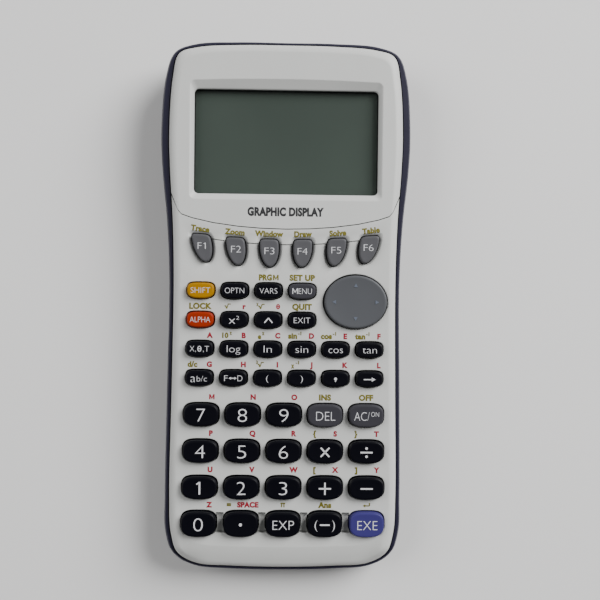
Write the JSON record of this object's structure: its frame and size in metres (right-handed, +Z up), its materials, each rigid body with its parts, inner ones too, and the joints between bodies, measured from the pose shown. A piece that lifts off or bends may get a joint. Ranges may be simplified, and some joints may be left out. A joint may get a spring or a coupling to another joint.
{
  "type": "graphing calculator",
  "caption": "Handheld graphing calculator with a display window, function keys, a cursor disc, a full keypad and a sliding battery cover in a slim wedge-shaped body.",
  "frame": {"origin": "centre of the footprint, on the surface the calculator lies on", "axes": "+X to the user's right, +Y towards the display end, +Z up out of the keypad"},
  "size_m": [0.083, 0.1759, 0.0197],
  "materials": {
    "pale_grey": "satin, lightly grained",
    "navy": "satin",
    "window": "clear polished",
    "lcd": "dark grey-green, unlit",
    "black_key": "satin",
    "charcoal_key": "satin",
    "graphite_key": "satin",
    "amber_key": "satin",
    "orange_key": "satin",
    "blue_key": "satin",
    "disc": "satin",
    "pivot": "natural",
    "mat": "matt",
    "board": "solder mask",
    "cell": "printed sleeve"
  },
  "bodies": {
    "case": {"front_case": "pale_grey", "display_bezel": "pale_grey", "display_window": "window", "lcd_panel": "lcd", "key_mat": "mat", "circuit_board": "board", "battery_1": "cell", "battery_2": "cell", "battery_3": "cell", "battery_4": "cell", "rear_case": "navy"},
    "battery_cover": {"battery_cover": "navy"},
    "key_f1": {"key_f1": "charcoal_key"},
    "key_f2": {"key_f2": "charcoal_key"},
    "key_f3": {"key_f3": "charcoal_key"},
    "key_f4": {"key_f4": "charcoal_key"},
    "key_f5": {"key_f5": "charcoal_key"},
    "key_f6": {"key_f6": "charcoal_key"},
    "key_shift": {"key_shift": "amber_key"},
    "key_optn": {"key_optn": "black_key"},
    "key_vars": {"key_vars": "black_key"},
    "key_menu": {"key_menu": "graphite_key"},
    "key_alpha": {"key_alpha": "orange_key"},
    "key_square": {"key_square": "black_key"},
    "key_power": {"key_power": "black_key"},
    "key_exit": {"key_exit": "black_key"},
    "key_xtt": {"key_xtt": "black_key"},
    "key_log": {"key_log": "black_key"},
    "key_ln": {"key_ln": "black_key"},
    "key_sin": {"key_sin": "black_key"},
    "key_cos": {"key_cos": "black_key"},
    "key_tan": {"key_tan": "black_key"},
    "key_fraction": {"key_fraction": "black_key"},
    "key_f_d": {"key_f_d": "black_key"},
    "key_paren_open": {"key_paren_open": "black_key"},
    "key_paren_close": {"key_paren_close": "black_key"},
    "key_comma": {"key_comma": "black_key"},
    "key_store": {"key_store": "black_key"},
    "key_7": {"key_7": "black_key"},
    "key_8": {"key_8": "black_key"},
    "key_9": {"key_9": "black_key"},
    "key_del": {"key_del": "graphite_key"},
    "key_ac_on": {"key_ac_on": "graphite_key"},
    "key_4": {"key_4": "black_key"},
    "key_5": {"key_5": "black_key"},
    "key_6": {"key_6": "black_key"},
    "key_multiply": {"key_multiply": "black_key"},
    "key_divide": {"key_divide": "black_key"},
    "key_1": {"key_1": "black_key"},
    "key_2": {"key_2": "black_key"},
    "key_3": {"key_3": "black_key"},
    "key_plus": {"key_plus": "black_key"},
    "key_minus": {"key_minus": "black_key"},
    "key_0": {"key_0": "black_key"},
    "key_point": {"key_point": "black_key"},
    "key_exp": {"key_exp": "black_key"},
    "key_negate": {"key_negate": "black_key"},
    "key_exe": {"key_exe": "blue_key"},
    "cursor_pivot": {"cursor_pivot": "pivot"},
    "cursor_disc": {"cursor_disc": "disc"}
  },
  "joints": [
    {"name": "battery_cover_slide", "type": "slide", "parent": "case", "child": "battery_cover", "axis": [0, 1, 0], "range_m": [0, 0.065]},
    {"name": "key_f1_press", "type": "slide", "parent": "case", "child": "key_f1", "axis": [0, -0.0279, 0.9996], "range_m": [-0.0012, 0], "stiffness_N_per_m": 300},
    {"name": "key_f2_press", "type": "slide", "parent": "case", "child": "key_f2", "axis": [0, -0.0279, 0.9996], "range_m": [-0.0012, 0], "stiffness_N_per_m": 300},
    {"name": "key_f3_press", "type": "slide", "parent": "case", "child": "key_f3", "axis": [0, -0.0279, 0.9996], "range_m": [-0.0012, 0], "stiffness_N_per_m": 300},
    {"name": "key_f4_press", "type": "slide", "parent": "case", "child": "key_f4", "axis": [0, -0.0279, 0.9996], "range_m": [-0.0012, 0], "stiffness_N_per_m": 300},
    {"name": "key_f5_press", "type": "slide", "parent": "case", "child": "key_f5", "axis": [0, -0.0279, 0.9996], "range_m": [-0.0012, 0], "stiffness_N_per_m": 300},
    {"name": "key_f6_press", "type": "slide", "parent": "case", "child": "key_f6", "axis": [0, -0.0279, 0.9996], "range_m": [-0.0012, 0], "stiffness_N_per_m": 300},
    {"name": "key_shift_press", "type": "slide", "parent": "case", "child": "key_shift", "axis": [0, -0.0279, 0.9996], "range_m": [-0.0012, 0], "stiffness_N_per_m": 300},
    {"name": "key_optn_press", "type": "slide", "parent": "case", "child": "key_optn", "axis": [0, -0.0279, 0.9996], "range_m": [-0.0012, 0], "stiffness_N_per_m": 300},
    {"name": "key_vars_press", "type": "slide", "parent": "case", "child": "key_vars", "axis": [0, -0.0279, 0.9996], "range_m": [-0.0012, 0], "stiffness_N_per_m": 300},
    {"name": "key_menu_press", "type": "slide", "parent": "case", "child": "key_menu", "axis": [0, -0.0279, 0.9996], "range_m": [-0.0012, 0], "stiffness_N_per_m": 300},
    {"name": "key_alpha_press", "type": "slide", "parent": "case", "child": "key_alpha", "axis": [0, -0.0279, 0.9996], "range_m": [-0.0012, 0], "stiffness_N_per_m": 300},
    {"name": "key_square_press", "type": "slide", "parent": "case", "child": "key_square", "axis": [0, -0.0279, 0.9996], "range_m": [-0.0012, 0], "stiffness_N_per_m": 300},
    {"name": "key_power_press", "type": "slide", "parent": "case", "child": "key_power", "axis": [0, -0.0279, 0.9996], "range_m": [-0.0012, 0], "stiffness_N_per_m": 300},
    {"name": "key_exit_press", "type": "slide", "parent": "case", "child": "key_exit", "axis": [0, -0.0279, 0.9996], "range_m": [-0.0012, 0], "stiffness_N_per_m": 300},
    {"name": "key_xtt_press", "type": "slide", "parent": "case", "child": "key_xtt", "axis": [0, -0.0279, 0.9996], "range_m": [-0.0012, 0], "stiffness_N_per_m": 300},
    {"name": "key_log_press", "type": "slide", "parent": "case", "child": "key_log", "axis": [0, -0.0279, 0.9996], "range_m": [-0.0012, 0], "stiffness_N_per_m": 300},
    {"name": "key_ln_press", "type": "slide", "parent": "case", "child": "key_ln", "axis": [0, -0.0279, 0.9996], "range_m": [-0.0012, 0], "stiffness_N_per_m": 300},
    {"name": "key_sin_press", "type": "slide", "parent": "case", "child": "key_sin", "axis": [0, -0.0279, 0.9996], "range_m": [-0.0012, 0], "stiffness_N_per_m": 300},
    {"name": "key_cos_press", "type": "slide", "parent": "case", "child": "key_cos", "axis": [0, -0.0279, 0.9996], "range_m": [-0.0012, 0], "stiffness_N_per_m": 300},
    {"name": "key_tan_press", "type": "slide", "parent": "case", "child": "key_tan", "axis": [0, -0.0279, 0.9996], "range_m": [-0.0012, 0], "stiffness_N_per_m": 300},
    {"name": "key_fraction_press", "type": "slide", "parent": "case", "child": "key_fraction", "axis": [0, -0.0279, 0.9996], "range_m": [-0.0012, 0], "stiffness_N_per_m": 300},
    {"name": "key_f_d_press", "type": "slide", "parent": "case", "child": "key_f_d", "axis": [0, -0.0279, 0.9996], "range_m": [-0.0012, 0], "stiffness_N_per_m": 300},
    {"name": "key_paren_open_press", "type": "slide", "parent": "case", "child": "key_paren_open", "axis": [0, -0.0279, 0.9996], "range_m": [-0.0012, 0], "stiffness_N_per_m": 300},
    {"name": "key_paren_close_press", "type": "slide", "parent": "case", "child": "key_paren_close", "axis": [0, -0.0279, 0.9996], "range_m": [-0.0012, 0], "stiffness_N_per_m": 300},
    {"name": "key_comma_press", "type": "slide", "parent": "case", "child": "key_comma", "axis": [0, -0.0279, 0.9996], "range_m": [-0.0012, 0], "stiffness_N_per_m": 300},
    {"name": "key_store_press", "type": "slide", "parent": "case", "child": "key_store", "axis": [0, -0.0279, 0.9996], "range_m": [-0.0012, 0], "stiffness_N_per_m": 300},
    {"name": "key_7_press", "type": "slide", "parent": "case", "child": "key_7", "axis": [0, -0.0279, 0.9996], "range_m": [-0.0012, 0], "stiffness_N_per_m": 300},
    {"name": "key_8_press", "type": "slide", "parent": "case", "child": "key_8", "axis": [0, -0.0279, 0.9996], "range_m": [-0.0012, 0], "stiffness_N_per_m": 300},
    {"name": "key_9_press", "type": "slide", "parent": "case", "child": "key_9", "axis": [0, -0.0279, 0.9996], "range_m": [-0.0012, 0], "stiffness_N_per_m": 300},
    {"name": "key_del_press", "type": "slide", "parent": "case", "child": "key_del", "axis": [0, -0.0279, 0.9996], "range_m": [-0.0012, 0], "stiffness_N_per_m": 300},
    {"name": "key_ac_on_press", "type": "slide", "parent": "case", "child": "key_ac_on", "axis": [0, -0.0279, 0.9996], "range_m": [-0.0012, 0], "stiffness_N_per_m": 300},
    {"name": "key_4_press", "type": "slide", "parent": "case", "child": "key_4", "axis": [0, -0.0279, 0.9996], "range_m": [-0.0012, 0], "stiffness_N_per_m": 300},
    {"name": "key_5_press", "type": "slide", "parent": "case", "child": "key_5", "axis": [0, -0.0279, 0.9996], "range_m": [-0.0012, 0], "stiffness_N_per_m": 300},
    {"name": "key_6_press", "type": "slide", "parent": "case", "child": "key_6", "axis": [0, -0.0279, 0.9996], "range_m": [-0.0012, 0], "stiffness_N_per_m": 300},
    {"name": "key_multiply_press", "type": "slide", "parent": "case", "child": "key_multiply", "axis": [0, -0.0279, 0.9996], "range_m": [-0.0012, 0], "stiffness_N_per_m": 300},
    {"name": "key_divide_press", "type": "slide", "parent": "case", "child": "key_divide", "axis": [0, -0.0279, 0.9996], "range_m": [-0.0012, 0], "stiffness_N_per_m": 300},
    {"name": "key_1_press", "type": "slide", "parent": "case", "child": "key_1", "axis": [0, -0.0279, 0.9996], "range_m": [-0.0012, 0], "stiffness_N_per_m": 300},
    {"name": "key_2_press", "type": "slide", "parent": "case", "child": "key_2", "axis": [0, -0.0279, 0.9996], "range_m": [-0.0012, 0], "stiffness_N_per_m": 300},
    {"name": "key_3_press", "type": "slide", "parent": "case", "child": "key_3", "axis": [0, -0.0279, 0.9996], "range_m": [-0.0012, 0], "stiffness_N_per_m": 300},
    {"name": "key_plus_press", "type": "slide", "parent": "case", "child": "key_plus", "axis": [0, -0.0279, 0.9996], "range_m": [-0.0012, 0], "stiffness_N_per_m": 300},
    {"name": "key_minus_press", "type": "slide", "parent": "case", "child": "key_minus", "axis": [0, -0.0279, 0.9996], "range_m": [-0.0012, 0], "stiffness_N_per_m": 300},
    {"name": "key_0_press", "type": "slide", "parent": "case", "child": "key_0", "axis": [0, -0.0279, 0.9996], "range_m": [-0.0012, 0], "stiffness_N_per_m": 300},
    {"name": "key_point_press", "type": "slide", "parent": "case", "child": "key_point", "axis": [0, -0.0279, 0.9996], "range_m": [-0.0012, 0], "stiffness_N_per_m": 300},
    {"name": "key_exp_press", "type": "slide", "parent": "case", "child": "key_exp", "axis": [0, -0.0279, 0.9996], "range_m": [-0.0012, 0], "stiffness_N_per_m": 300},
    {"name": "key_negate_press", "type": "slide", "parent": "case", "child": "key_negate", "axis": [0, -0.0279, 0.9996], "range_m": [-0.0012, 0], "stiffness_N_per_m": 300},
    {"name": "key_exe_press", "type": "slide", "parent": "case", "child": "key_exe", "axis": [0, -0.0279, 0.9996], "range_m": [-0.0012, 0], "stiffness_N_per_m": 300},
    {"name": "cursor_tilt_up_down", "type": "hinge", "parent": "case", "child": "cursor_pivot", "pos_m": [0.02315, 0.00253, 0.01441], "axis": [1, 0, 0], "range_deg": [-3, 3], "stiffness_Nm_per_rad": 0.15},
    {"name": "cursor_tilt_left_right", "type": "hinge", "parent": "cursor_pivot", "child": "cursor_disc", "pos_m": [0.02315, 0.00253, 0.01441], "axis": [0, 0.9996, 0.0279], "range_deg": [-3, 3], "stiffness_Nm_per_rad": 0.15}
  ]
}
